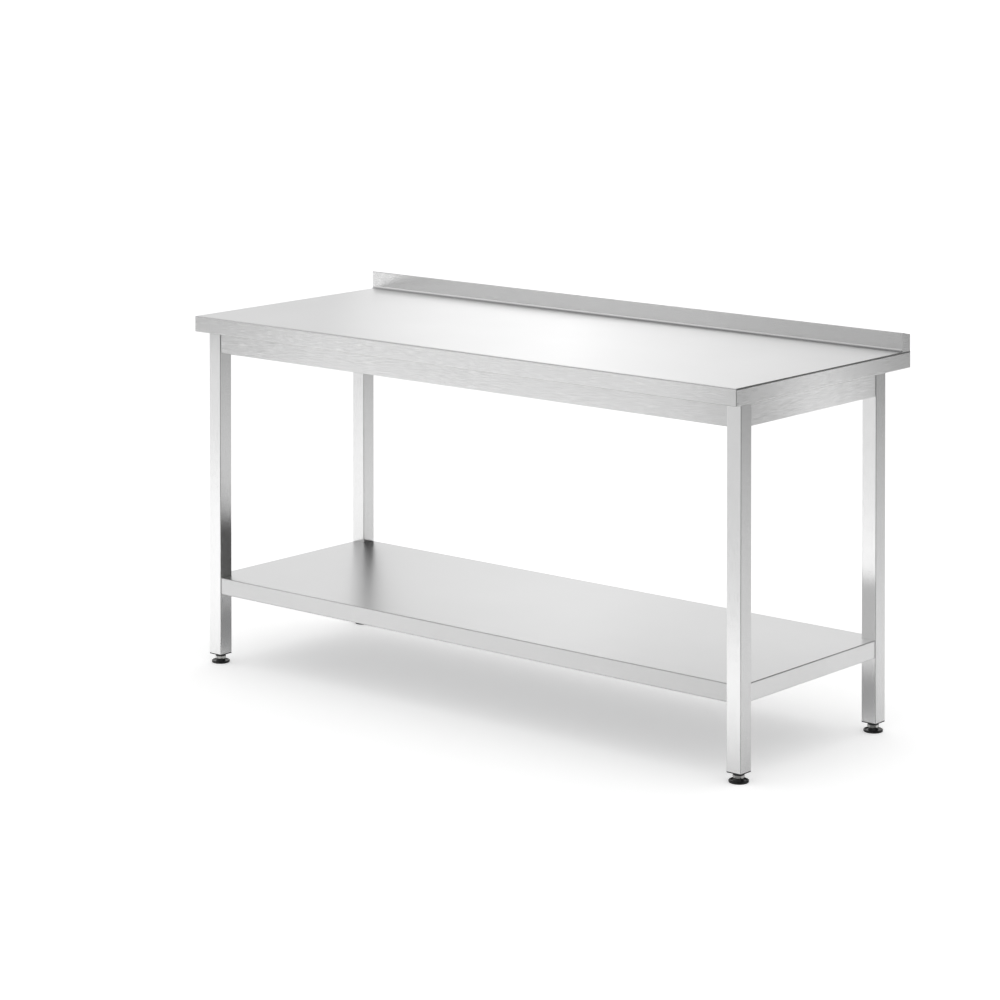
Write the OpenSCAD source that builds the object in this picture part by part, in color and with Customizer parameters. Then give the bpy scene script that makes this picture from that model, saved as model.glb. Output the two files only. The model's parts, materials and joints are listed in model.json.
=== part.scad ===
// Free-standing stainless work table with a rear upstand, a lower shelf and four levelling feet.
// Millimetres. +X runs along the table, +Y to the upstand side, +Z up.
// The origin is on the floor, below the centre of the worktop.

/* [Worktop] */
// Length of the worktop, end to end
top_length = 1700; // [1200:10:2000]
// Depth of the worktop, front rim to rear face
top_depth = 700; // [600:10:800]
// Height of the work surface above the floor with the feet screwed in
work_height = 890; // [850:1:950]
// Height of the rim around the worktop
rim_height = 40; // [36:1:60]
// Height of the rear upstand above the work surface
upstand_height = 46; // [30:1:100]
// Thickness of the rear upstand, front to back
upstand_depth = 32; // [20:1:40]
// Fall of the upstand's top towards the wall, degrees
upstand_fall = 12; // [0:1:20]
// Thickness of the laminated board glued under the sheet
core_thickness = 18; // [12:1:22]

/* [Sheet metal] */
// Sheet thickness of the worktop, the aprons and the shelf
sheet = 1.2; // [0.8:0.1:1.5]
// Outside radius of a folded edge
bend_radius = 2.2; // [1.8:0.1:3]
// Outside radius of the fold between the work surface and its rims
top_radius = 4; // [1.8:0.1:5]
// Width of the inward return along the lower edge of each rim
return_width = 12; // [8:1:12]

/* [Legs] */
// Outside width of the square leg tube
leg_size = 40; // [38:1:45]
// Wall thickness of the leg tube
leg_wall = 1.5; // [1.2:0.1:2]
// Outside corner radius of the leg tube
leg_radius = 2; // [1.8:0.1:3]
// Distance from the end of the worktop to the leg
leg_inset_end = 14; // [13:1:60]
// Distance from the front rim to the front legs
leg_inset_front = 37; // [16:1:60]
// Distance from the rear face to the rear legs
leg_inset_rear = 85; // [40:1:100]

/* [Aprons and shelf] */
// Height of the apron that shows below the rim
apron_drop = 55; // [45:1:80]
// Distance of the aprons and shelf rims behind the outer leg faces
face_recess = 2.2; // [1:0.1:4]
// Height of the shelf surface above the floor
shelf_height = 221; // [180:1:400]
// Height of the rim around the shelf
shelf_rim = 42; // [38:1:50]

/* [Levelling feet] */
// Height of the leg plug's underside above the floor
foot_height = 22.5; // [21:0.5:26]
// Diameter of the foot pad
pad_diameter = 46; // [40:1:60]
// Width across the flats of the adjusting hexagon
foot_hex = 24; // [20:1:26]
// Diameter of the threaded foot stem
stem_diameter = 10; // [10:2:12]
// Length of the threaded stem above the hexagon
stem_length = 52; // [48:1:80]

/* [Hidden] */
$fn = 48;
eps = 0.01;                                    // how far a cut runs past a face
past = 1;                                      // how far a drilled hole runs past a sheet

// Places shared by several pieces
half_length = top_length / 2;
half_depth = top_depth / 2;
rim_bottom = work_height - rim_height;
core_bottom = work_height - sheet - core_thickness;
apron_bottom = rim_bottom - apron_drop;
apron_height = core_bottom - apron_bottom;
leg_x = half_length - leg_inset_end - leg_size / 2;
front_y = -half_depth + leg_inset_front + leg_size / 2;
rear_y = half_depth - leg_inset_rear - leg_size / 2;
frame_mid_y = (front_y + rear_y) / 2;
bay_length = 2 * leg_x - leg_size;             // clear distance between left and right legs
bay_depth = rear_y - front_y - leg_size;       // clear distance between front and rear legs
fit_gap = 0.3;                                 // assembly gap beside a leg
upstand_fillet = 7;                            // inside radius where the sheet turns up
upstand_end = 1.5;                             // closed end of the upstand, behind the side rim

// Fasteners
bolt_radius = 2.95;                            // M6
bolt_grip = 10;                                // length of bolt inside the leg
bolt_head_flats = 10;
bolt_head_height = 4;
washer_radius = 6;
washer_thickness = 1.6;
nut_bore = 3;
nut_radius = 4.5;
nut_length = 13;
nut_bulge_radius = 6;
nut_bulge_length = 2.5;
clearance = 0.05;                              // radial clearance of a running or pushed-in fit
hole_clearance = 0.4;                          // extra radius of a bolt hole in sheet
apron_bolts_x = [apron_bottom + 20, apron_bottom + 54];   // heights in the front and rear aprons
apron_bolts_y = [apron_bottom + 30, apron_bottom + 64];   // heights in the side aprons
shelf_bolts_x = [shelf_height - 15];           // height in the long shelf rims
shelf_bolts_y = [shelf_height - 27];           // height in the short shelf rims
tab_width = 32;                                // width of an apron's end tab
flange_width = 24;                             // width of an apron's upper flange
lip_width = 14;                                // width of an apron's lower flange
slack = 2;                                     // room at the ends of a part that is pushed in

// Wood screws
screw_radius = 2;
screw_head_radius = 4;
screw_head_height = 2.4;
screw_bite = 12;                               // depth of the screw in the board
screw_reach_x = 0.42;                          // outermost screws, as a part of the bay's length
screw_near_x = 0.175;                          // inner screws, as a part of the bay's length
screw_reach_y = 0.3;                           // side screws, as a part of the bay's depth

// Centre brace and shelf stiffeners, both hat-shaped channels
hat_width = 50;
hat_height = 25;
hat_brim = 18;
stiffener_spacing = 226;                       // distance between the two shelf stiffeners
stiffener_gap = 17;                            // from a stiffener's end to the shelf's legs

// Levelling foot
plug_flange = 2.5;
plug_depth = 26;                               // how far the plug reaches into the leg
plug_wall = 2;
plug_corner = 1;                               // corner radius of the plug inside the leg
plug_floor = 4;                                // thickness of the plug under the foot nut
plug_bore_gap = 0.5;                           // radial room for the stem in the plug
neck_radius = 13;
foot_nut_flats = 17;                           // M10 hexagon nut
foot_nut_height = 12;
pad_edge = 5;                                  // height of the pad's outer edge
pad_hub = 9;                                   // height of the pad's hub, where the hexagon rests
journal_radius = 6;
journal_length = 6;
socket_gap = 0.3;                              // room below the journal in the pad's socket
stem_chamfer = 1.5;
hex_bevel = 1.6;
hex_top = 17;                                  // top of the hexagon, against the plug's neck

// ---- shapes that repeat ----

// Rectangle from the origin, with all four corners rounded
module round_rect(width, height, r) {
    translate([r, 0]) square([width - 2 * r, height]);
    translate([0, r]) square([width, height - 2 * r]);
    for (x = [r, width - r], y = [r, height - r]) translate([x, y]) circle(r);
}

// Rectangle from the origin with one radius at the two lower corners and another at the upper ones
module round_rect_two(width, height, low_r, high_r) {
    round_rect(width, height / 2, low_r);
    translate([0, height / 2]) round_rect(width, height / 2, high_r);
    translate([0, height / 4]) square([width, height / 2]);
}

// Rectangle from the origin that is rounded at its two corners on the left only
module round_left_rect(width, height, r) {
    translate([r, 0]) square([width - r, height]);
    translate([0, r]) square([width, height - 2 * r]);
    for (y = [r, height - r]) translate([r, y]) circle(r);
}

module centred_round_square(size, r) {
    translate([-size / 2, -size / 2]) round_rect(size, size, r);
}

// Box whose upper and lower edges are all folded edges, centred on x and y
module folded_box(length, depth, height, low_r, high_r) {
    intersection() {
        translate([-length / 2, depth / 2, 0]) rotate([90, 0, 0])
            linear_extrude(depth) round_rect_two(length, height, low_r, high_r);
        translate([-length / 2, -depth / 2, 0]) rotate([90, 0, 90])
            linear_extrude(length) round_rect_two(depth, height, low_r, high_r);
    }
}

module hexagon(flats, height) {
    cylinder(h = height, r = flats / sqrt(3), $fn = 6);
}

// Hat-shaped channel of a length along x, its brims at z = 0 and its crown below
module hat_channel(length) {
    translate([-length / 2, 0, 0]) {
        for (side = [-1, 1]) {
            translate([0, side > 0 ? hat_width / 2 - sheet : -hat_width / 2 - hat_brim, -sheet])
                cube([length, hat_brim + sheet, sheet]);
            translate([0, side > 0 ? hat_width / 2 - sheet : -hat_width / 2, -hat_height])
                cube([length, sheet, hat_height]);
        }
        translate([0, -hat_width / 2, -hat_height]) cube([length, hat_width, sheet]);
    }
}

// ---- places that repeat ----

// At a leg's faces towards the long aprons; local +Z points into the leg
module into_legs_x(heights) {
    for (side = [-1, 1], y = [front_y, rear_y], z = heights)
        translate([side * bay_length / 2, y, z]) rotate([0, side * 90, 0]) children();
}

// At a leg's faces towards the side aprons; local +Z points into the leg
module into_legs_y(heights) {
    for (side = [-1, 1], end = [-1, 1], z = heights)
        translate([side * leg_x, frame_mid_y + end * bay_depth / 2, z])
            rotate([-end * 90, 0, 0]) children();
}

module into_legs() {
    into_legs_x(concat(apron_bolts_x, shelf_bolts_x)) children();
    into_legs_y(concat(apron_bolts_y, shelf_bolts_y)) children();
}

// Screw places in the upper flanges, the brace's brims included; local origin at the board
module core_screw_places() {
    flange_middle = face_recess + flange_width / 2 + slack;
    far_x = bay_length * screw_reach_x;
    near_x = bay_length * screw_near_x;
    side_y = bay_depth * screw_reach_y;
    for (x = [-far_x, -near_x, near_x, far_x], end = [-1, 1])
        translate([x, frame_mid_y + end * (bay_depth / 2 + leg_size - flange_middle), core_bottom])
            children();
    for (side = [-1, 1], end = [-1, 1])
        translate([side * (leg_x + leg_size / 2 - flange_middle), frame_mid_y + end * side_y, core_bottom])
            children();
    for (side = [-1, 1], end = [-1, 1])
        translate([side * (hat_width + hat_brim) / 2, frame_mid_y + end * side_y, core_bottom])
            children();
}

// ---- worktop ----

// Height of the fold centres below the upstand's top, at a distance behind its front face
function upstand_fold(y) =
    rim_height + upstand_height - y * tan(upstand_fall) - bend_radius / cos(upstand_fall);

// Section of the upstand and the rim behind it, from its front face, with folds of a radius
module upstand_section(r) {
    front = bend_radius;
    rear = upstand_depth - bend_radius;
    lean = [r * sin(upstand_fall), r * cos(upstand_fall)];
    polygon([
        [front, bend_radius - r], [rear, bend_radius - r],
        [rear + r, bend_radius], [rear + r, upstand_fold(rear)],
        [rear, upstand_fold(rear)] + lean, [front, upstand_fold(front)] + lean,
        [front - r, upstand_fold(front)], [front - r, bend_radius]
    ]);
    for (place = [[front, bend_radius], [rear, bend_radius],
            [rear, upstand_fold(rear)], [front, upstand_fold(front)]])
        translate(place) circle(r);
}

// The upstand and the rim behind it are one upright face; the ends of the upstand are closed
module upstand_form(inset) {
    length = top_length - 2 * (upstand_end + inset);
    height = rim_height + upstand_height - 2 * inset;
    intersection() {
        translate([-length / 2, half_depth - upstand_depth, rim_bottom])
            rotate([90, 0, 90]) linear_extrude(length) upstand_section(bend_radius - inset);
        translate([-length / 2, half_depth + eps, rim_bottom + inset])
            rotate([90, 0, 0]) linear_extrude(upstand_depth + 2 * eps)
                round_rect(length, height, bend_radius - inset);
    }
}

// Solid form of the worktop, drawn smaller all round by the inset
module worktop_form(inset) {
    length = top_length - 2 * inset;
    depth = top_depth - 2 * inset;
    r = bend_radius - inset;
    intersection() {
        union() {
            translate([0, 0, rim_bottom + inset])
                folded_box(length, depth, rim_height - 2 * inset, r, top_radius - inset);
            upstand_form(inset);
        }
        // the rims meet in rounded upright corners
        translate([-length / 2, -depth / 2, rim_bottom])
            linear_extrude(rim_height + upstand_height) round_rect(length, depth, r);
    }
}

// Curved inside corner where the work surface turns up into the upstand
module upstand_turn() {
    translate([-half_length + top_radius, half_depth - upstand_depth, work_height])
        rotate([90, 0, 90]) linear_extrude(top_length - 2 * top_radius)
            difference() {
                translate([-upstand_fillet, -sheet / 2])
                    square([upstand_fillet + sheet / 2, upstand_fillet + sheet / 2]);
                translate([-upstand_fillet, upstand_fillet]) circle(upstand_fillet);
            }
}

module worktop() {
    color("gainsboro") difference() {
        union() {
            worktop_form(0);
            upstand_turn();
        }
        worktop_form(sheet);
        // the rim's lower edge turns inwards all round, and the underside is open
        translate([0, 0, rim_bottom - eps]) linear_extrude(rim_height / 2)
            square([top_length - 2 * return_width, top_depth - 2 * return_width], center = true);
    }
}

// Laminated board that backs the work surface, with pilot holes for the screws
module worktop_core() {
    // the board starts where the folds of the sheet end
    board_depth = top_depth - upstand_depth - 2 * top_radius;
    color("burlywood") difference() {
        translate([-half_length + top_radius, -half_depth + top_radius, core_bottom])
            cube([top_length - 2 * top_radius, board_depth, core_thickness - clearance]);
        core_screw_places() translate([0, 0, -eps])
            cylinder(h = screw_bite + past, r = screw_radius + clearance);
    }
}

// Hat channel across the depth, between the long aprons, screwed up into the board
module centre_brace() {
    brace_length = bay_depth + 2 * (leg_size - face_recess - flange_width) - slack;
    color("silver") difference() {
        translate([0, frame_mid_y, core_bottom]) rotate([0, 0, 90]) hat_channel(brace_length);
        core_screw_places() translate([0, 0, -sheet - eps])
            cylinder(h = sheet + past, r = screw_radius + hole_clearance);
    }
}

// ---- aprons ----

// Apron of a length along x, its outer face at y = 0 and its flanges towards +y.
// The end tabs lie against the legs.
module apron(length) {
    translate([-length / 2, 0, 0]) rotate([90, 0, 90]) {
        linear_extrude(length) difference() {
            round_left_rect(flange_width, apron_height, bend_radius);
            translate([sheet, sheet])
                round_left_rect(flange_width, apron_height - 2 * sheet, bend_radius - sheet);
            translate([lip_width, -eps]) square([flange_width, apron_height / 2]);
        }
        for (x = [0, length - sheet]) translate([0, 0, x])
            linear_extrude(sheet) round_left_rect(tab_width, apron_height, bend_radius);
    }
}

module apron_x(end) {
    color("gainsboro") difference() {
        translate([0, frame_mid_y + end * (bay_depth / 2 + leg_size - face_recess), apron_bottom])
            rotate([0, 0, end > 0 ? 180 : 0]) apron(bay_length - 2 * fit_gap);
        into_legs_x(apron_bolts_x) translate([0, 0, -2 * sheet])
            cylinder(h = 2 * sheet, r = bolt_radius + hole_clearance);
        core_screw_places() translate([0, 0, -sheet - eps])
            cylinder(h = sheet + past, r = screw_radius + hole_clearance);
    }
}

module apron_y(side) {
    color("gainsboro") difference() {
        translate([side * (leg_x + leg_size / 2 - face_recess), frame_mid_y, apron_bottom])
            rotate([0, 0, side * 90]) apron(bay_depth - 2 * fit_gap);
        into_legs_y(apron_bolts_y) translate([0, 0, -2 * sheet])
            cylinder(h = 2 * sheet, r = bolt_radius + hole_clearance);
        core_screw_places() translate([0, 0, -sheet - eps])
            cylinder(h = sheet + past, r = screw_radius + hole_clearance);
    }
}

module front_apron() { apron_x(-1); }
module rear_apron() { apron_x(1); }
module left_apron() { apron_y(-1); }
module right_apron() { apron_y(1); }

// ---- legs ----

module leg(x, y) {
    leg_bottom = foot_height + plug_flange;
    color("silver") difference() {
        translate([x, y, leg_bottom]) linear_extrude(core_bottom - leg_bottom) difference() {
            centred_round_square(leg_size, leg_radius);
            centred_round_square(leg_size - 2 * leg_wall, leg_radius - leg_wall);
        }
        into_legs() translate([0, 0, -past])
            cylinder(h = leg_wall + 2 * past, r = nut_radius + clearance);
    }
}

module leg_front_left() { leg(-leg_x, front_y); }
module leg_front_right() { leg(leg_x, front_y); }
module leg_rear_left() { leg(-leg_x, rear_y); }
module leg_rear_right() { leg(leg_x, rear_y); }

// ---- lower shelf ----

// Plan of the shelf, notched round the four legs and drawn smaller by the inset
module shelf_plan(inset) {
    plan_length = bay_length + 2 * (leg_size - face_recess);
    plan_depth = bay_depth + 2 * (leg_size - face_recess);
    notch_x = bay_length / 2 - fit_gap - inset;
    notch_y = bay_depth / 2 - fit_gap - inset;
    difference() {
        square([plan_length - 2 * inset, plan_depth - 2 * inset], center = true);
        for (x = [-1, 1], y = [-1, 1])
            translate([x > 0 ? notch_x : -notch_x - leg_size, y > 0 ? notch_y : -notch_y - leg_size])
                square(leg_size);
    }
}

// Solid form of the shelf, drawn smaller all round by the inset
module shelf_form(inset) {
    plan_length = bay_length + 2 * (leg_size - face_recess - inset);
    plan_depth = bay_depth + 2 * (leg_size - face_recess - inset);
    intersection() {
        translate([0, 0, inset])
            folded_box(plan_length, plan_depth, shelf_rim - 2 * inset,
                bend_radius - inset, bend_radius - inset);
        linear_extrude(shelf_rim) shelf_plan(inset);
    }
}

module lower_shelf() {
    color("gainsboro") difference() {
        translate([0, frame_mid_y, shelf_height - shelf_rim]) difference() {
            shelf_form(0);
            shelf_form(sheet);
            // the rim's lower edge turns inwards, and the underside is open
            translate([0, 0, -eps]) linear_extrude(shelf_rim / 2) shelf_plan(return_width);
        }
        into_legs_x(shelf_bolts_x) translate([0, 0, -2 * sheet])
            cylinder(h = 2 * sheet, r = bolt_radius + hole_clearance);
        into_legs_y(shelf_bolts_y) translate([0, 0, -2 * sheet])
            cylinder(h = 2 * sheet, r = bolt_radius + hole_clearance);
    }
}

// Hat channel along the length, under the shelf's surface
module shelf_stiffener(end) {
    color("silver") translate([0, frame_mid_y + end * stiffener_spacing / 2, shelf_height - sheet])
        hat_channel(bay_length - 2 * stiffener_gap);
}

module shelf_stiffener_front() { shelf_stiffener(-1); }
module shelf_stiffener_rear() { shelf_stiffener(1); }

// ---- levelling feet ----

// Black moulded plug that closes the leg's end and holds the foot's nut
module leg_plug(x, y) {
    bore = stem_diameter / 2 + plug_bore_gap;
    inside = leg_size - 2 * leg_wall - 2 * clearance;
    pocket_bottom = foot_height + plug_flange + plug_floor;
    color([0.07, 0.07, 0.07]) translate([x, y, 0]) difference() {
        union() {
            translate([0, 0, hex_top]) cylinder(h = foot_height - hex_top + eps, r = neck_radius);
            translate([0, 0, foot_height]) linear_extrude(plug_flange)
                centred_round_square(leg_size, leg_radius);
            difference() {
                translate([0, 0, foot_height]) linear_extrude(plug_flange + plug_depth)
                    centred_round_square(inside, plug_corner);
                translate([0, 0, foot_height + plug_flange]) linear_extrude(plug_depth + eps)
                    centred_round_square(inside - 2 * plug_wall, plug_corner);
            }
            translate([0, 0, foot_height])
                cylinder(h = plug_flange + plug_floor + foot_nut_height, r = neck_radius);
        }
        translate([0, 0, hex_top - eps]) cylinder(h = plug_depth, r = bore);
        translate([0, 0, pocket_bottom]) hexagon(foot_nut_flats + 2 * clearance, foot_nut_height + past);
    }
}

module leg_plug_front_left() { leg_plug(-leg_x, front_y); }
module leg_plug_front_right() { leg_plug(leg_x, front_y); }
module leg_plug_rear_left() { leg_plug(-leg_x, rear_y); }
module leg_plug_rear_right() { leg_plug(leg_x, rear_y); }

// Threaded nut that sits in the plug and carries the stem
module foot_nut(x, y) {
    color("goldenrod") translate([x, y, foot_height + plug_flange + plug_floor]) difference() {
        hexagon(foot_nut_flats, foot_nut_height);
        translate([0, 0, -past])
            cylinder(h = foot_nut_height + 2 * past, r = stem_diameter / 2 + clearance);
    }
}

module foot_nut_front_left() { foot_nut(-leg_x, front_y); }
module foot_nut_front_right() { foot_nut(leg_x, front_y); }
module foot_nut_rear_left() { foot_nut(-leg_x, rear_y); }
module foot_nut_rear_right() { foot_nut(leg_x, rear_y); }

// Threaded stem with its adjusting hexagon and the journal that turns in the pad
module foot_stem(x, y) {
    corner = foot_hex / sqrt(3);
    hex_height = hex_top - pad_hub;
    stem_r = stem_diameter / 2;
    color("lightgray") translate([x, y, 0]) {
        // the hexagon's lower corners are bevelled
        translate([0, 0, pad_hub]) intersection() {
            hexagon(foot_hex, hex_height);
            rotate_extrude() polygon([
                [0, 0], [foot_hex / 2 - hex_bevel, 0], [corner, corner - foot_hex / 2 + hex_bevel],
                [corner, hex_height], [0, hex_height]
            ]);
        }
        rotate_extrude() polygon([
            [0, hex_top - past], [stem_r, hex_top - past],
            [stem_r, hex_top + stem_length - stem_chamfer],
            [stem_r - stem_chamfer, hex_top + stem_length], [0, hex_top + stem_length]
        ]);
        translate([0, 0, pad_hub - journal_length])
            cylinder(h = journal_length + past, r = journal_radius);
    }
}

module foot_stem_front_left() { foot_stem(-leg_x, front_y); }
module foot_stem_front_right() { foot_stem(leg_x, front_y); }
module foot_stem_rear_left() { foot_stem(-leg_x, rear_y); }
module foot_stem_rear_right() { foot_stem(leg_x, rear_y); }

// Black dished pad that stands on the floor
module foot_pad(x, y) {
    r = pad_diameter / 2;
    edge = 1.2;                                // bevel of the pad's outer edges
    bead = 0.8;                                // height of the raised bead round the edge
    bead_width = 3;
    slope = 3;                                 // width of the dish's sloping side
    hub_r = 10.5;
    hub_slope = 2;
    dish_floor = 3.6;
    socket_bottom = pad_hub - journal_length - socket_gap;
    color([0.05, 0.05, 0.05]) translate([x, y, 0]) rotate_extrude() polygon([
        [0, 0], [r - edge, 0], [r, edge], [r, pad_edge], [r - edge, pad_edge + bead],
        [r - bead_width, pad_edge], [r - bead_width - slope, dish_floor], [hub_r + hub_slope, dish_floor],
        [hub_r, pad_hub - clearance], [journal_radius + clearance, pad_hub - clearance],
        [journal_radius + clearance, socket_bottom], [0, socket_bottom]
    ]);
}

module foot_pad_front_left() { foot_pad(-leg_x, front_y); }
module foot_pad_front_right() { foot_pad(leg_x, front_y); }
module foot_pad_rear_left() { foot_pad(-leg_x, rear_y); }
module foot_pad_rear_right() { foot_pad(leg_x, rear_y); }

// ---- fasteners ----

// Hexagon-head bolt that comes from inside the frame; local +Z points into the leg
module frame_bolt() {
    head_base = -(fit_gap + sheet + washer_thickness);
    translate([0, 0, head_base - bolt_head_height]) hexagon(bolt_head_flats, bolt_head_height);
    translate([0, 0, head_base - past]) cylinder(h = bolt_grip - head_base + past, r = bolt_radius);
}

module apron_bolts() {
    color("silver") {
        into_legs_x(apron_bolts_x) frame_bolt();
        into_legs_y(apron_bolts_y) frame_bolt();
    }
}

module shelf_bolts() {
    color("silver") {
        into_legs_x(shelf_bolts_x) frame_bolt();
        into_legs_y(shelf_bolts_y) frame_bolt();
    }
}

module bolt_washers() {
    color("silver") into_legs() translate([0, 0, -(fit_gap + sheet + washer_thickness)])
        difference() {
            cylinder(h = washer_thickness, r = washer_radius);
            translate([0, 0, -past])
                cylinder(h = washer_thickness + 2 * past, r = bolt_radius + hole_clearance);
        }
}

// Blind rivet nuts, their heads flush with the leg and their crimps behind its wall
module rivet_nuts() {
    color("darkgray") into_legs() difference() {
        union() {
            cylinder(h = nut_length, r = nut_radius);
            translate([0, 0, leg_wall + clearance]) cylinder(h = nut_bulge_length, r = nut_bulge_radius);
        }
        translate([0, 0, -past]) cylinder(h = nut_length + 2 * past, r = nut_bore);
    }
}

// Pan-head screws that hold the board to the aprons and the brace
module core_screws() {
    color("silver") core_screw_places() {
        translate([0, 0, -sheet - screw_head_height])
            cylinder(h = screw_head_height, r = screw_head_radius);
        translate([0, 0, -sheet - past]) cylinder(h = sheet + past + screw_bite, r = screw_radius);
    }
}

worktop();
worktop_core();
centre_brace();
front_apron();
rear_apron();
left_apron();
right_apron();
leg_front_left();
leg_front_right();
leg_rear_left();
leg_rear_right();
lower_shelf();
shelf_stiffener_front();
shelf_stiffener_rear();
leg_plug_front_left();
leg_plug_front_right();
leg_plug_rear_left();
leg_plug_rear_right();
foot_nut_front_left();
foot_nut_front_right();
foot_nut_rear_left();
foot_nut_rear_right();
foot_stem_front_left();
foot_stem_front_right();
foot_stem_rear_left();
foot_stem_rear_right();
foot_pad_front_left();
foot_pad_front_right();
foot_pad_rear_left();
foot_pad_rear_right();
apron_bolts();
shelf_bolts();
bolt_washers();
rivet_nuts();
core_screws();
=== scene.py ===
"""Looks of the stainless work table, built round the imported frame.

Metres, in the frame's own axes: +X along the table, +Y to the upstand, +Z up, floor at z = 0.
"""

import json
import math

import bmesh
import bpy
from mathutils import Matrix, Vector

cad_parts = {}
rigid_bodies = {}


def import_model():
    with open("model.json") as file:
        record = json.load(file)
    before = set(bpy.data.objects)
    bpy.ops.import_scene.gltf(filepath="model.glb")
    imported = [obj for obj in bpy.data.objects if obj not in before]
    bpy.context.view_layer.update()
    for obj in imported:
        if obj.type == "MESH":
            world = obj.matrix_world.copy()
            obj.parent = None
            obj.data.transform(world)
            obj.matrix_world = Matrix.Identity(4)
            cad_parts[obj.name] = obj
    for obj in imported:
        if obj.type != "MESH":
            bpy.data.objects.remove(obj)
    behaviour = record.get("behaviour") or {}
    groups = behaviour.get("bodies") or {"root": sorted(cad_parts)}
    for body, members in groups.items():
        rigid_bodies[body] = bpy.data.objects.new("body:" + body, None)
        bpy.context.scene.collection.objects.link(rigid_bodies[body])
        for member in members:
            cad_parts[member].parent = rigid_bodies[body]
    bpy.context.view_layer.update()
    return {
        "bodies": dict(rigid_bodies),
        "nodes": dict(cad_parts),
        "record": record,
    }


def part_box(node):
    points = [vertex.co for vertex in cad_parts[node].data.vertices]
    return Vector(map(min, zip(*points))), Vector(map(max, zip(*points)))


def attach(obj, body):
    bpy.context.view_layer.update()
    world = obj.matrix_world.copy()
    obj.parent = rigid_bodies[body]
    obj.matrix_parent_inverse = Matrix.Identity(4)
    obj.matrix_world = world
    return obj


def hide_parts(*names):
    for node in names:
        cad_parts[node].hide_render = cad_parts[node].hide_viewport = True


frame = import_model()

NODES = frame["nodes"]
FEET = ("front_left", "front_right", "rear_left", "rear_right")
MM = 0.001


# ---- node-tree helpers ----


class Tree:
    """A material's node tree, with short calls to add and join nodes."""

    def __init__(self, name):
        self.material = bpy.data.materials.new(name)
        self.material.use_nodes = True
        self.nodes = self.material.node_tree.nodes
        self.links = self.material.node_tree.links
        self.nodes.clear()

    def add(self, kind, **settings):
        node = self.nodes.new(kind)
        for key, value in settings.items():
            setattr(node, key, value)
        return node

    def put(self, value, socket):
        """Join a socket to an input, or set a plain value on it."""
        if isinstance(value, bpy.types.NodeSocket):
            self.links.new(value, socket)
        else:
            socket.default_value = value

    def math(self, operation, a, b=0.0):
        node = self.add("ShaderNodeMath", operation=operation)
        self.put(a, node.inputs[0])
        self.put(b, node.inputs[1])
        return node.outputs[0]

    def vector_math(self, operation, a, b=(0, 0, 0)):
        node = self.add("ShaderNodeVectorMath", operation=operation)
        self.put(a, node.inputs[0])
        self.put(b, node.inputs[1])
        return node.outputs["Vector"]

    def scale(self, vector, factor):
        """A vector or colour times a number."""
        node = self.add("ShaderNodeVectorMath", operation="SCALE")
        self.put(vector, node.inputs[0])
        self.put(factor, node.inputs["Scale"])
        return node.outputs[0]

    def mix(self, factor, a, b):
        """Blend of two colours."""
        node = self.add("ShaderNodeMix", data_type="RGBA")
        self.put(factor, node.inputs["Factor"])
        self.put(a, node.inputs[6])
        self.put(b, node.inputs[7])
        return node.outputs[2]

    def ramp(self, value, low, high):
        """0 below low, 1 above high, smooth between."""
        node = self.add("ShaderNodeMapRange", interpolation_type="SMOOTHSTEP")
        self.put(value, node.inputs["Value"])
        node.inputs["From Min"].default_value = low
        node.inputs["From Max"].default_value = high
        return node.outputs["Result"]

    def span(self, value, low, high, to_low, to_high):
        """Linear change of range."""
        node = self.add("ShaderNodeMapRange")
        self.put(value, node.inputs["Value"])
        for key, number in zip(("From Min", "From Max", "To Min", "To Max"), (low, high, to_low, to_high)):
            node.inputs[key].default_value = number
        return node.outputs["Result"]

    def noise(self, vector, scale, detail=2.0, roughness=0.5):
        node = self.add("ShaderNodeTexNoise")
        self.put(vector, node.inputs["Vector"])
        node.inputs["Scale"].default_value = scale
        node.inputs["Detail"].default_value = detail
        node.inputs["Roughness"].default_value = roughness
        return node.outputs["Fac"]

    def place(self):
        """The point in the object's own frame, in metres."""
        return self.add("ShaderNodeTexCoord").outputs["Object"]

    def split(self, vector):
        node = self.add("ShaderNodeSeparateXYZ")
        self.put(vector, node.inputs[0])
        return node.outputs

    def bump(self, height, strength, distance, normal=None):
        node = self.add("ShaderNodeBump")
        self.put(height, node.inputs["Height"])
        node.inputs["Strength"].default_value = strength
        node.inputs["Distance"].default_value = distance
        if normal is not None:
            self.put(normal, node.inputs["Normal"])
        return node.outputs["Normal"]

    def finish(self, **inputs):
        """Principled surface with the given inputs."""
        shader = self.add("ShaderNodeBsdfPrincipled")
        for key, value in inputs.items():
            self.put(value, shader.inputs[key.replace("_", " ")])
        output = self.add("ShaderNodeOutputMaterial")
        self.links.new(shader.outputs[0], output.inputs["Surface"])
        return self.material


# ---- materials ----


AXES = {"x": (1, 0, 0), "y": (0, 1, 0), "z": (0, 0, 1)}
# a face looks along an axis when its normal's part along that axis is above this
FACING = 0.72
# between these parts of the normal along z, upright faces go over into flat ones
FLAT = (0.3, 0.7)
# where the noise has its darkest and its brightest grey
NOISE = (0.3, 0.7)
# noise cells per metre, across and along the grain, from the finest scratches to the polishing marks
SCRATCHES = (9000.0, 30.0)
FINE_LINES = (3600.0, 14.0)
MEDIUM_LINES = (900.0, 5.0)
CLOUDS = 3.2
FINE_PART = 0.6
# how far the marks change the tone, the roughness and the slope, as parts of 1
STREAKS = 0.012
WEAR = 0.012
UPRIGHT_WEAR = 0.2
SCRATCH_LEAN = 0.25
BRUSH_BUMP = (0.05, 0.00001)    # strength, depth in metres


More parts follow.
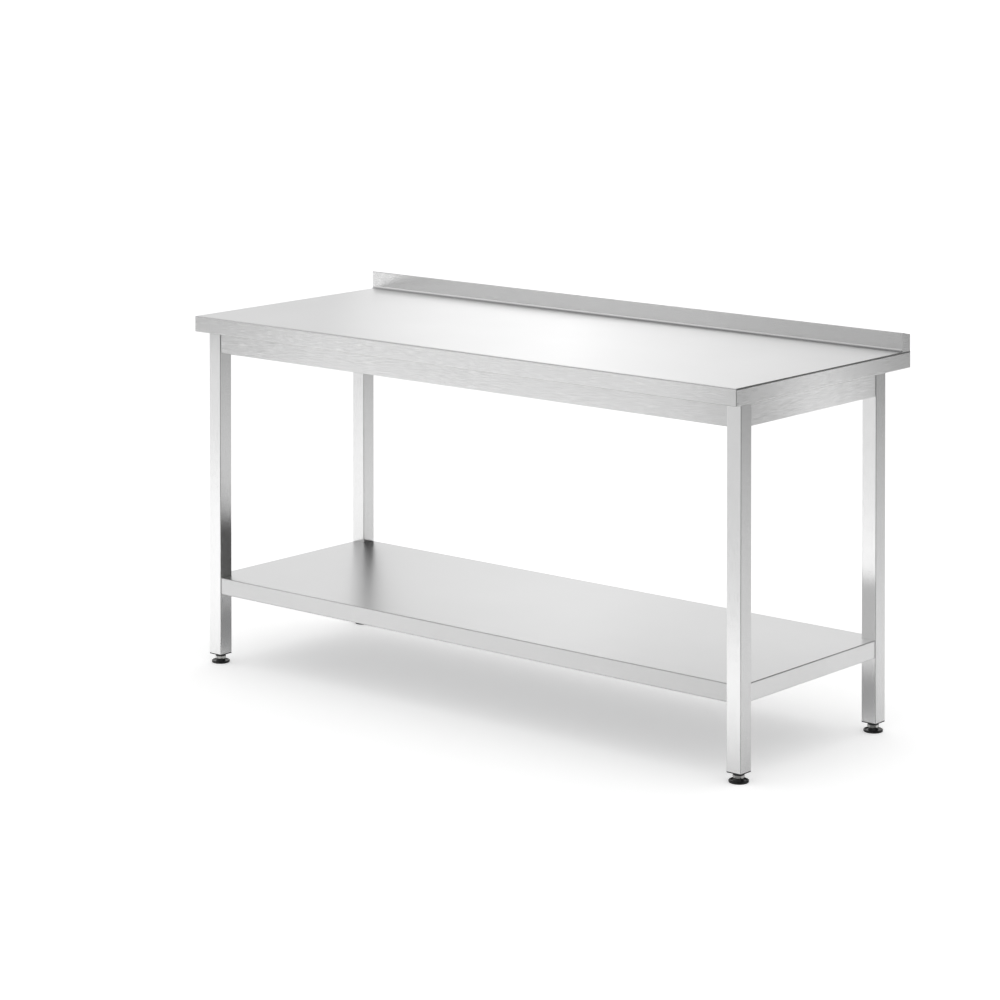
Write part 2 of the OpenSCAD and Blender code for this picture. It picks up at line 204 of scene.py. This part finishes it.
def brushed_steel(name, grain, colour, roughness, upright=None, front_painted_light=1.0, right_painted_light=1.0,
                  drawn_out=1.0):
    """Stainless steel. Grain "x" runs along x, and along y on faces that look along x; grain "z" is upright.

    Upright faces can have a roughness of their own. The front and right values paint light and shade on a
    part's front and right faces, making them lighter or darker. The last value says how far highlights are
    drawn out across the grain.
    """
    t = Tree(name)
    place = t.place()
    facing = t.add("ShaderNodeNewGeometry").outputs["Normal"]
    side, depth, rise = t.split(facing)
    looks_x = t.math("GREATER_THAN", t.math("ABSOLUTE", side), FACING)
    looks_right = t.math("GREATER_THAN", side, FACING)
    looks_front = t.math("GREATER_THAN", t.math("MULTIPLY", depth, -1.0), FACING)
    flat = t.ramp(t.math("ABSOLUTE", rise), *FLAT)
    first, second = ("x", "y") if grain == "x" else ("z", "z")
    along_grain = t.mix(looks_x, (*AXES[first], 1), (*AXES[second], 1))
    # the highlight of a brushed face is drawn out across the grain
    across_grain = t.vector_math("NORMALIZE", t.vector_math("CROSS_PRODUCT", facing, along_grain))

    def stretched(across, along):
        """The place, squeezed across the grain and drawn out along it."""
        scales = [[along if part else across for part in AXES[which]] for which in (first, second)]
        return t.vector_math("MULTIPLY", place, t.mix(looks_x, (*scales[0], 1), (*scales[1], 1)))

    scratches = t.noise(stretched(*SCRATCHES), 1.0, 0.0)
    fine = t.noise(stretched(*FINE_LINES), 1.0, 1.0)
    medium = t.noise(stretched(*MEDIUM_LINES), 1.0)
    clouds = t.noise(place, CLOUDS)
    lines = t.math("ADD", t.math("MULTIPLY", fine, FINE_PART), t.math("MULTIPLY", medium, 1 - FINE_PART))
    tone = t.math("ADD", t.span(lines, *NOISE, 1 - STREAKS, 1 + STREAKS),
                  t.span(clouds, *NOISE, -STREAKS, STREAKS))
    # painted light and shade: a part's front and right faces made lighter or darker by their own factor
    for looks, side_painted_light in ((looks_front, front_painted_light), (looks_right, right_painted_light)):
        tone = t.math("MULTIPLY", tone, t.span(looks, 0, 1, 1, side_painted_light))
    worn = t.math("MULTIPLY", t.span(medium, *NOISE, -WEAR, WEAR), t.span(flat, 0, 1, UPRIGHT_WEAR, 1))
    level = t.span(flat, 0, 1, upright or roughness, roughness)
    # scratches too fine to see one by one turn an upright face a little, across the grain only
    lean = t.math("MULTIPLY", t.span(scratches, 0, 1, -SCRATCH_LEAN, SCRATCH_LEAN), t.span(flat, 0, 1, 1, 0))
    normal = t.vector_math("NORMALIZE", t.vector_math("ADD", facing, t.scale(across_grain, lean)))
    return t.finish(
        Base_Color=t.scale(colour[:3], tone), Metallic=1.0, Roughness=t.math("ADD", level, worn),
        Anisotropic=drawn_out, Tangent=across_grain,
        Normal=t.bump(t.math("MULTIPLY", lines, flat), *BRUSH_BUMP, normal),
    )


def moulded_plastic(name, colour, roughness):
    """Moulded black plastic: fine spark-eroded grain, lighter and rougher where it is worn."""
    t = Tree(name)
    place = t.place()
    grain = t.noise(place, scale=1800.0)
    wear = t.ramp(t.noise(place, scale=60.0, detail=4.0, roughness=0.6), 0.55, 0.8)
    lighter = tuple(3 * part + 0.01 for part in colour[:3]) + (1,)
    return t.finish(
        Base_Color=t.mix(wear, colour, lighter),
        Roughness=t.span(wear, 0, 1, roughness, roughness + 0.15),
        Normal=t.bump(grain, strength=0.25, distance=0.0001),
    )


def zinc_plate(name, colour, roughness=0.32):
    """Bright zinc plating with faint clouding."""
    t = Tree(name)
    place = t.place()
    cloud = t.noise(place, scale=90.0, detail=3.0)
    shade = tuple(0.78 * part for part in colour[:3]) + (1,)
    return t.finish(
        Base_Color=t.mix(t.ramp(cloud, 0.35, 0.7), shade, colour), Metallic=1.0,
        Roughness=t.span(cloud, *NOISE, roughness - 0.06, roughness + 0.08),
        Normal=t.bump(t.noise(place, scale=900.0), strength=0.1, distance=0.00003),
    )


def galvanised(name):
    """Hot-dip galvanised sheet with its crystal pattern."""
    t = Tree(name)
    place = t.place()
    cells = t.add("ShaderNodeTexVoronoi", feature="F1")
    t.put(place, cells.inputs["Vector"])
    cells.inputs["Scale"].default_value = 110.0
    tint = t.split(cells.outputs["Color"])[0]
    return t.finish(
        Base_Color=t.mix(tint, (0.46, 0.47, 0.48, 1), (0.66, 0.67, 0.68, 1)), Metallic=0.85,
        Roughness=t.span(tint, 0, 1, 0.38, 0.55),
        Normal=t.bump(tint, strength=0.15, distance=0.00005),
    )


def board(name):
    """Laminated chipboard: a pale film with a faint speckle, chips showing at the cut edges."""
    t = Tree(name)
    place = t.place()
    _, _, rise = t.split(t.add("ShaderNodeNewGeometry").outputs["Normal"])
    face = t.math("GREATER_THAN", t.math("ABSOLUTE", rise), FACING)
    chips = t.noise(place, scale=420.0, detail=3.0, roughness=0.7)
    edge = t.mix(t.ramp(chips, 0.35, 0.65), (0.33, 0.22, 0.12, 1), (0.62, 0.47, 0.30, 1))
    speckle = t.ramp(t.noise(place, scale=700.0), 0.4, 0.7)
    film = t.mix(speckle, (0.66, 0.66, 0.64, 1), (0.74, 0.74, 0.72, 1))
    return t.finish(
        Base_Color=t.mix(face, edge, film),
        Roughness=t.span(face, 0, 1, 0.85, 0.45),
        Normal=t.bump(chips, strength=0.1, distance=0.0001),
    )


STEEL = (0.80, 0.80, 0.80, 1)
SHELF_STEEL = (0.685, 0.685, 0.685, 1)
LEG_ROUGHNESS = 0.20
# the front and right values below are painted light and shade on those faces of each part
MATERIALS = {
    "stainless_worktop": brushed_steel("steel_worktop", "x", STEEL, 0.35, upright=0.17, front_painted_light=1.02,
                                       right_painted_light=0.97),
    "stainless_frame": brushed_steel("steel_frame", "x", STEEL, 0.17, front_painted_light=0.98),
    "stainless_leg": brushed_steel("steel_leg", "z", STEEL, LEG_ROUGHNESS),
    "stainless_shelf": brushed_steel("steel_shelf", "x", SHELF_STEEL, 0.31, upright=0.32, front_painted_light=0.96,
                                     right_painted_light=1.34, drawn_out=0.6),
    "galvanised_sheet": galvanised("galvanised"),
    "laminated_board": board("laminated_board"),
    "black_plastic": moulded_plastic("plug_plastic", (0.012, 0.012, 0.013, 1), 0.42),
    "pad_plastic": moulded_plastic("pad_plastic", (0.010, 0.010, 0.011, 1), 0.35),
    "zinc_foot": zinc_plate("zinc_foot", (0.78, 0.78, 0.76, 1)),
    "zinc_fastener": zinc_plate("zinc_fastener", (0.70, 0.70, 0.68, 1), 0.36),
}


# the light differs from leg to leg: the tone of each leg's front face and of its right face
LEG_PAINTED_LIGHT = {
    "leg_front_left": (1.09, 0.95),
    "leg_front_right": (1.10, 0.97),
    "leg_rear_right": (1.3, 1.03),
    "leg_rear_left": (1.0, 1.0),
}


def dress_nodes():
    """Each CAD node takes the material of its slot in the record, and each leg its own copy of it with
    painted light and shade on its front and right faces.
    """
    for row in frame["record"]["subparts"]:
        mesh = NODES[row["node"]].data
        mesh.materials.clear()
        mesh.materials.append(MATERIALS[row["material_slot"]])
    for name, (front, right) in LEG_PAINTED_LIGHT.items():
        tube = brushed_steel(f"steel_{name}", "z", STEEL, LEG_ROUGHNESS, front_painted_light=front, right_painted_light=right)
        NODES[name].data.materials[0] = tube


dress_nodes()


# ---- foot screws: hexagon, journal and a real M10 thread in place of the plain CAD stem ----

HEX_FLATS = 24 * MM
HEX_BOTTOM = 9 * MM
HEX_TOP = 17 * MM
HEX_BEVEL = 1.6 * MM
HEX_TOP_BEVEL = 0.5 * MM
HEX_BEVEL_STEPS = 6
HEX_STEPS = 72
JOURNAL_RADIUS = 6 * MM
JOURNAL_BOTTOM = 3 * MM
JOURNAL_BEVEL = 0.4 * MM
THREAD_PITCH = 1.5 * MM
THREAD_DEPTH = 0.92 * MM
THREAD_PROFILE = ((0.00, 0.0), (0.42, 1.0), (0.56, 1.0), (0.98, 0.0))    # parts of pitch and depth
THREAD_SEGMENTS = 36
THREAD_START = HEX_TOP - 0.5 * MM
MERGE_DISTANCE = 0.004 * MM
STEM_RADIUS = 5 * MM
STEM_CHAMFER = 1.5 * MM


def ring(mesh, radius_at, z):
    """Vertices on one level; the radius is a function of the angle."""
    verts = []
    for step in range(HEX_STEPS):
        angle = 2 * math.pi * step / HEX_STEPS
        radius = radius_at(angle)
        verts.append(mesh.verts.new((radius * math.cos(angle), radius * math.sin(angle), z)))
    return verts


def skin(mesh, rings):
    """Side faces between neighbouring rings, and a flat face on both ends."""
    for low, high in zip(rings, rings[1:]):
        for i in range(len(low)):
            j = (i + 1) % len(low)
            mesh.faces.new((low[i], low[j], high[j], high[i]))
    mesh.faces.new(list(reversed(rings[0])))
    mesh.faces.new(rings[-1])


def hexagon_radius(angle, limit):
    """Distance from the axis to the side of the hexagon, or to a bevel cone if that is nearer."""
    sixth = math.pi / 3
    return min(HEX_FLATS / 2 / math.cos((angle + sixth / 2) % sixth - sixth / 2), limit)


def add_hexagon(mesh):
    """Hexagon with bevelled corners below and a small bevel above, on the journal that turns in the pad."""
    corner = HEX_FLATS / math.sqrt(3)
    rings = []
    for radius, z in (
        (JOURNAL_RADIUS - JOURNAL_BEVEL, JOURNAL_BOTTOM),
        (JOURNAL_RADIUS, JOURNAL_BOTTOM + JOURNAL_BEVEL),
        (JOURNAL_RADIUS, HEX_BOTTOM),
    ):
        rings.append(ring(mesh, lambda angle, r=radius: r, z))
    # the lower bevel is a cone of 45 degrees
    start = HEX_FLATS / 2 - HEX_BEVEL
    rise = corner - start
    levels = []
    for step in range(HEX_BEVEL_STEPS + 1):
        grown = rise * step / HEX_BEVEL_STEPS
        levels.append((start + grown, HEX_BOTTOM + grown))
    levels += [(corner, HEX_TOP - HEX_TOP_BEVEL), (corner - 2 * HEX_TOP_BEVEL, HEX_TOP)]
    for limit, z in levels:
        rings.append(ring(mesh, lambda angle, r=limit: hexagon_radius(angle, r), z))
    skin(mesh, rings)


def add_thread(mesh, bottom, top):
    """Right-hand thread: a grid whose last column meets the first one pitch further up."""
    turns = int((top - bottom) / THREAD_PITCH) + 2
    count = len(THREAD_PROFILE)
    rows = turns * count
    grid = []
    for row in range(rows):
        part, height = THREAD_PROFILE[row % count]
        level = bottom + (row // count - 1 + part) * THREAD_PITCH
        line = []
        for column in range(THREAD_SEGMENTS):
            angle = 2 * math.pi * column / THREAD_SEGMENTS
            z = min(max(level + THREAD_PITCH * column / THREAD_SEGMENTS, bottom), top)
            radius = STEM_RADIUS - THREAD_DEPTH * (1 - height)
            radius = min(radius, STEM_RADIUS - STEM_CHAMFER + (top - z))
            if z in (bottom, top):
                radius = STEM_RADIUS - STEM_CHAMFER
            line.append(mesh.verts.new((radius * math.cos(angle), radius * math.sin(angle), z)))
        grid.append(line)
    for row, (low, high) in enumerate(zip(grid, grid[1:])):
        for column in range(THREAD_SEGMENTS - 1):
            mesh.faces.new((low[column], low[column + 1], high[column + 1], high[column]))
        after = row + count
        if after + 1 < rows:
            mesh.faces.new((low[-1], grid[after][0], grid[after + 1][0], high[-1]))
    bmesh.ops.remove_doubles(mesh, verts=[vert for line in grid for vert in line], dist=MERGE_DISTANCE)
    loose = [vert for vert in mesh.verts if not vert.link_faces]
    bmesh.ops.delete(mesh, geom=loose, context="VERTS")
    bmesh.ops.holes_fill(mesh, edges=[edge for edge in mesh.edges if edge.is_boundary], sides=0)


def foot_screw(foot):
    """Hexagon and thread as one mesh on the stem's body, in place of the plain CAD stem."""
    node = f"foot_stem_{foot}"
    low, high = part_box(node)
    mesh = bmesh.new()
    add_thread(mesh, THREAD_START, high[2])
    add_hexagon(mesh)
    bmesh.ops.recalc_face_normals(mesh, faces=mesh.faces)
    data = bpy.data.meshes.new(f"foot_screw_{foot}")
    mesh.to_mesh(data)
    mesh.free()
    data.materials.append(MATERIALS["zinc_foot"])
    screw = bpy.data.objects.new(f"foot_screw_{foot}", data)
    bpy.context.scene.collection.objects.link(screw)
    screw.location = ((low[0] + high[0]) / 2, (low[1] + high[1]) / 2, 0)
    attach(screw, f"stem_{foot}")
    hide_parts(node)


for foot in FEET:
    foot_screw(foot)


# ---- small edge rounds on CAD pieces, which the camera sees as thin highlights ----

ROUNDED = {
    "leg_plug_": 0.3 * MM,
    "foot_pad_": 0.35 * MM,
    "foot_nut_": 0.3 * MM,
    "apron_bolts": 0.3 * MM,
    "shelf_bolts": 0.3 * MM,
    "bolt_washers": 0.15 * MM,
    "core_screws": 0.25 * MM,
}
ROUND_ANGLE = math.radians(35)


def round_edges():
    """A bevel modifier on each piece whose name starts like one in the list."""
    for name, node in NODES.items():
        for start, width in ROUNDED.items():
            if name.startswith(start):
                bevel = node.modifiers.new("edge_round", "BEVEL")
                bevel.width = width
                bevel.segments = 2
                bevel.limit_method = "ANGLE"
                bevel.angle_limit = ROUND_ANGLE


round_edges()


# ---- studio ----


def grey(level):
    return (level, level, level, 1)


def band(t, value, low, high, soft):
    """1 between low and high, falling to 0 over a soft edge on both sides."""
    rise = t.ramp(value, low - soft, low + soft)
    fall = t.ramp(value, high - soft, high + soft)
    return t.math("SUBTRACT", rise, fall)


# Lamp strips: tone, and the span of one part of the direction with its soft edge
FRONT_STRIP = 0.38
FRONT_STRIP_SPAN = (-0.690, -0.583, 0.012)
RIGHT_STRIP = 1.40
RIGHT_STRIP_SPAN = (0.8085, 0.8165, 0.007)
# both fade out between these upward parts of the direction
STRIP_TOP = (0.10, 0.45)


def strips(t, x, y, z):
    """Two lamp strips round the room, and their painted reflection glowing on the floor, seen in the
    direction x, y, z. Each holds one part of the direction fixed, so that brushed faces show it sharply
    along their grain."""
    tone = 0.0
    for level, part, span, half in ((FRONT_STRIP, x, FRONT_STRIP_SPAN, t.math("MULTIPLY", y, -1.0)),
                                    (RIGHT_STRIP, y, RIGHT_STRIP_SPAN, x)):
        lit = t.math("MULTIPLY", band(t, part, *span), t.math("GREATER_THAN", half, 0.0))
        tone = t.math("ADD", tone, t.math("MULTIPLY", lit, level))
    return t.math("MULTIPLY", tone, t.span(t.ramp(z, *STRIP_TOP), 0, 1, 1, 0))


FLOOR_SIZE = 80.0
# the floor's tone for the camera and for diffuse light, and the part of it that no shadow takes away
FLOOR_LIGHT = 1.24
FLOOR_LIFT = 0.34
# What the steel sees of the floor, painted light and shade that only reflections show. In front of the
# table: a step up in tone across a slanting edge, and a fall far out; behind it: an even fall. Places in
# metres
FLOOR_LIT_SLOPE = 0.38
FLOOR_LIT_EDGE = (-1.91, -1.21)
FLOOR_FRONT = (0.70, 1.22)
FLOOR_FRONT_REACH = (6.2, 7.2)
FLOOR_FRONT_FAR = 0.35
FLOOR_BACK_REACH = (1.6, 5.6)
FLOOR_BACK = (0.92, 0.42)
FLOOR_BEHIND = (-0.8, 0.8)
# painted shade on the floor for the steel: towards the camera's side, and straight below, the direction
# parts over which it goes dark, and the tone left
DARK_SIDE = (0.15, 0.45)
DARK_SIDE_TONE = 0.12
STEEP = (0.35, 0.65)
STEEP_TONE = 0.4


def floor_material():
    """White floor, a little overexposed. The steel sees painted light and shade on it: bright near the table
    and darker far out, with a painted reflection of the lamp strips and painted shade in some directions.
    """
    t = Tree("floor_white")
    x, y, _ = t.split(t.place())
    front_edge = t.math("SUBTRACT", y, t.math("MULTIPLY", x, FLOOR_LIT_SLOPE))
    front = t.span(t.ramp(front_edge, *FLOOR_LIT_EDGE), 0, 1, *FLOOR_FRONT)
    length = t.add("ShaderNodeVectorMath", operation="LENGTH")
    t.put(t.vector_math("MULTIPLY", t.place(), (1, 1, 0)), length.inputs[0])
    distance = length.outputs["Value"]
    far = t.span(t.ramp(distance, *FLOOR_FRONT_REACH), 0, 1, 1, FLOOR_FRONT_FAR)
    back = t.span(distance, *FLOOR_BACK_REACH, *FLOOR_BACK)
    behind = t.ramp(t.math("ADD", x, y), *FLOOR_BEHIND)
    painted_floor_light_for_steel = t.mix(behind, t.math("MULTIPLY", front, far), back)

    sees = t.add("ShaderNodeLightPath").outputs["Is Glossy Ray"]
    toward = t.vector_math("MULTIPLY", t.add("ShaderNodeNewGeometry").outputs["Incoming"], (-1, -1, -1))
    toward_x, toward_y, toward_z = t.split(toward)
    # painted reflection: the lamp strips glow on the floor for the steel only
    painted_strip_reflection = t.math("MULTIPLY", sees, t.math("MULTIPLY", strips(t, toward_x, toward_y, toward_z), far))
    # painted shade: for the steel the floor is dark towards the camera's own side, which draws the thin dark
    # lines along upright corners
    nearer = t.math("MULTIPLY", toward_y, -1.0)
    own_side = t.math("MULTIPLY", t.ramp(toward_x, *DARK_SIDE), t.ramp(nearer, *DARK_SIDE))
    # and, as painted shade, straight below too, which lower folds show as a line
    below = t.ramp(t.math("MULTIPLY", toward_z, -1.0), *STEEP)
    painted_floor_shade = 1.0
    for part, tone_left in ((own_side, DARK_SIDE_TONE), (below, STEEP_TONE)):
        painted_floor_shade = t.math("MULTIPLY", painted_floor_shade, t.span(t.math("MULTIPLY", part, sees), 0, 1, 1, tone_left))
    tone = t.scale(t.mix(sees, grey(FLOOR_LIGHT), painted_floor_light_for_steel), painted_floor_shade)

    def share(camera_part, steel_part):
        """The floor's tone times the part asked for, which differs for the camera and for the steel."""
        return t.vector_math("MULTIPLY", tone, t.mix(sees, grey(camera_part), grey(steel_part)))

    return t.finish(Base_Color=share(1 - FLOOR_LIFT, 1), Roughness=1.0, Specular_IOR_Level=0.0,
                    Emission_Color=t.vector_math("ADD", share(FLOOR_LIFT, 0), painted_strip_reflection), Emission_Strength=1.0)


def drive(owner, path, index, kind, points, extrapolation):
    """A driver of a built-in kind on one value. Straight lines between the points turn what it reads into
    the value; past them it goes on as the extrapolation says."""
    curve = owner.driver_add(path, index)
    curve.driver.type = kind
    curve.extrapolation = extrapolation
    curve.modifiers.remove(curve.modifiers[0])    # a new driver's own straight line from 0
    for reading, value in points:
        curve.keyframe_points.insert(reading, value).interpolation = "LINEAR"
    return curve


def floor():
    """Pale floor that meets the white background."""
    half = FLOOR_SIZE / 2
    corners = [(-half, -half, 0), (half, -half, 0), (half, half, 0), (-half, half, 0)]
    mesh = bpy.data.meshes.new("floor")
    mesh.from_pydata(corners, [], [(0, 1, 2, 3)])
    mesh.materials.append(floor_material())
    plane = bpy.data.objects.new("studio_floor", mesh)
    bpy.context.scene.collection.objects.link(plane)
    # the floor goes down with the lowest foot, so that the table stands on it in every pose
    pads = [frame["bodies"][f"pad_{foot}"] for foot in FEET]
    rest = min(pad.matrix_world.translation.z for pad in pads)
    curve = drive(plane, "location", 2, "MIN", ((rest, 0), (rest + 1, 1)), "LINEAR")
    for pad in pads:
        reading = curve.driver.variables.new()
        reading.type = "TRANSFORMS"
        reading.targets[0].id = pad
        reading.targets[0].transform_type = "LOC_Z"
        reading.targets[0].transform_space = "WORLD_SPACE"


# Soft light over the table, which only the steel's highlights show
SOFTBOX_PLACE = (-1.16, 1.06, 2.3)
SOFTBOX_AIM = (0.0, 0.0, 1.2)
SOFTBOX_SIZE = (0.78, 2.2)
SOFTBOX_POWER = 4.5


def softbox():
    """Rectangular soft light that faces a point."""
    data = bpy.data.lights.new("strip", "AREA")
    data.shape = "RECTANGLE"
    data.size, data.size_y = SOFTBOX_SIZE
    data.energy = SOFTBOX_POWER
    light = bpy.data.objects.new("strip", data)
    bpy.context.scene.collection.objects.link(light)
    light.location = SOFTBOX_PLACE
    light.rotation_euler = (Vector(SOFTBOX_AIM) - Vector(SOFTBOX_PLACE)).to_track_quat("-Z", "Y").to_euler()
    light.visible_diffuse = False
    light.visible_camera = False


class World(Tree):
    """The studio's surroundings as a node tree."""

    def __init__(self):
        self.world = bpy.data.worlds.new("studio")
        bpy.context.scene.world = self.world
        self.world.use_nodes = True
        self.nodes = self.world.node_tree.nodes
        self.links = self.world.node_tree.links
        self.nodes.clear()

    def background(self, strength):
        node = self.add("ShaderNodeBackground")
        self.put(strength, node.inputs[1])
        return node.outputs[0]

    def mix_shader(self, factor, a, b):
        node = self.add("ShaderNodeMixShader")
        for value, socket in zip((factor, a, b), node.inputs):
            self.put(value, socket)
        return node.outputs[0]


# What the steel sees round it. Each wall: tone; compass span from +Y towards +X with its soft edge;
# heights between which it fades out at the top (all angles in radians)
WALLS = (
    (1.22, (-1.45, -0.35, 0.12), (0.85, 1.25)),
    (0.05, (-0.15, 1.50, 0.12), (0.40, 0.80)),
    (0.80, (-3.20, -1.35, 0.20), (0.50, 1.00)),
    (0.60, (1.50, 3.05, 0.12), (0.70, 1.20)),
)
CEILING = 0.05
# the camera sees past the floor's edge into plain white; the dome lights the floor from above
WHITE = 1.25
DOME = (0.0, 1.62)


def world():
    """White for the camera, a soft dome for the floor's light, and for the steel a room of pale walls
    at the horizon and a dark ceiling."""
    t = World()
    path = t.add("ShaderNodeLightPath").outputs
    x, y, z = t.split(t.add("ShaderNodeTexCoord").outputs["Generated"])
    around = t.math("ARCTAN2", x, y)
    height = t.math("ARCSINE", z)

    def wall(level, span, top):
        """A tone seen between two compass angles, from the horizon up to a soft top edge."""
        return t.math("MULTIPLY", t.math("MULTIPLY", band(t, around, *span), level),
                      t.span(t.ramp(height, *top), 0, 1, 1, 0))

    seen = strips(t, x, y, z)
    for level, span, top in WALLS:
        seen = t.math("ADD", seen, wall(level, span, top))
    seen = t.math("ADD", seen, CEILING)
    dome = t.span(z, 0, 1, *DOME)
    lit = t.mix_shader(path["Is Glossy Ray"], t.background(dome), t.background(seen))
    out = t.add("ShaderNodeOutputWorld")
    t.links.new(t.mix_shader(path["Is Camera Ray"], lit, t.background(WHITE)), out.inputs[0])
    # only rays that leave a surface look at the room, so each kind of ray gets its own
    t.world.cycles.sampling_method = "NONE"


# Camera of a product shot: level lens with a vertical shift, so that uprights stay upright
CAMERA_PLACE = (5.028, -6.098, 2.098)
CAMERA_AZIMUTH = 40.22
CAMERA_PITCH = 1.058
CAMERA_LENS = 116.06
CAMERA_SHIFT = -0.5994
CAMERA_LEAVES = 0.05    # metres from its own place at which the camera has lost its shift


def camera():
    """The photo's camera, for which the lens shift holds only at the camera's own place."""
    data = bpy.data.cameras.new("camera")
    data.lens = CAMERA_LENS
    cam = bpy.data.objects.new("camera", data)
    bpy.context.scene.collection.objects.link(cam)
    cam.location = CAMERA_PLACE
    cam.rotation_euler = (math.radians(90 - CAMERA_PITCH), 0, math.radians(CAMERA_AZIMUTH))
    bpy.context.scene.camera = cam
    home = bpy.data.objects.new("camera_home", None)
    bpy.context.scene.collection.objects.link(home)
    home.location = CAMERA_PLACE
    # from any other side the lens is centred
    curve = drive(data, "shift_y", -1, "SUM", ((0, CAMERA_SHIFT), (CAMERA_LEAVES, 0)), "CONSTANT")
    away = curve.driver.variables.new()
    away.type = "LOC_DIFF"
    away.targets[0].id = cam
    away.targets[1].id = home


floor()
world()
softbox()
camera()
bpy.context.scene.view_settings.view_transform = "Standard"
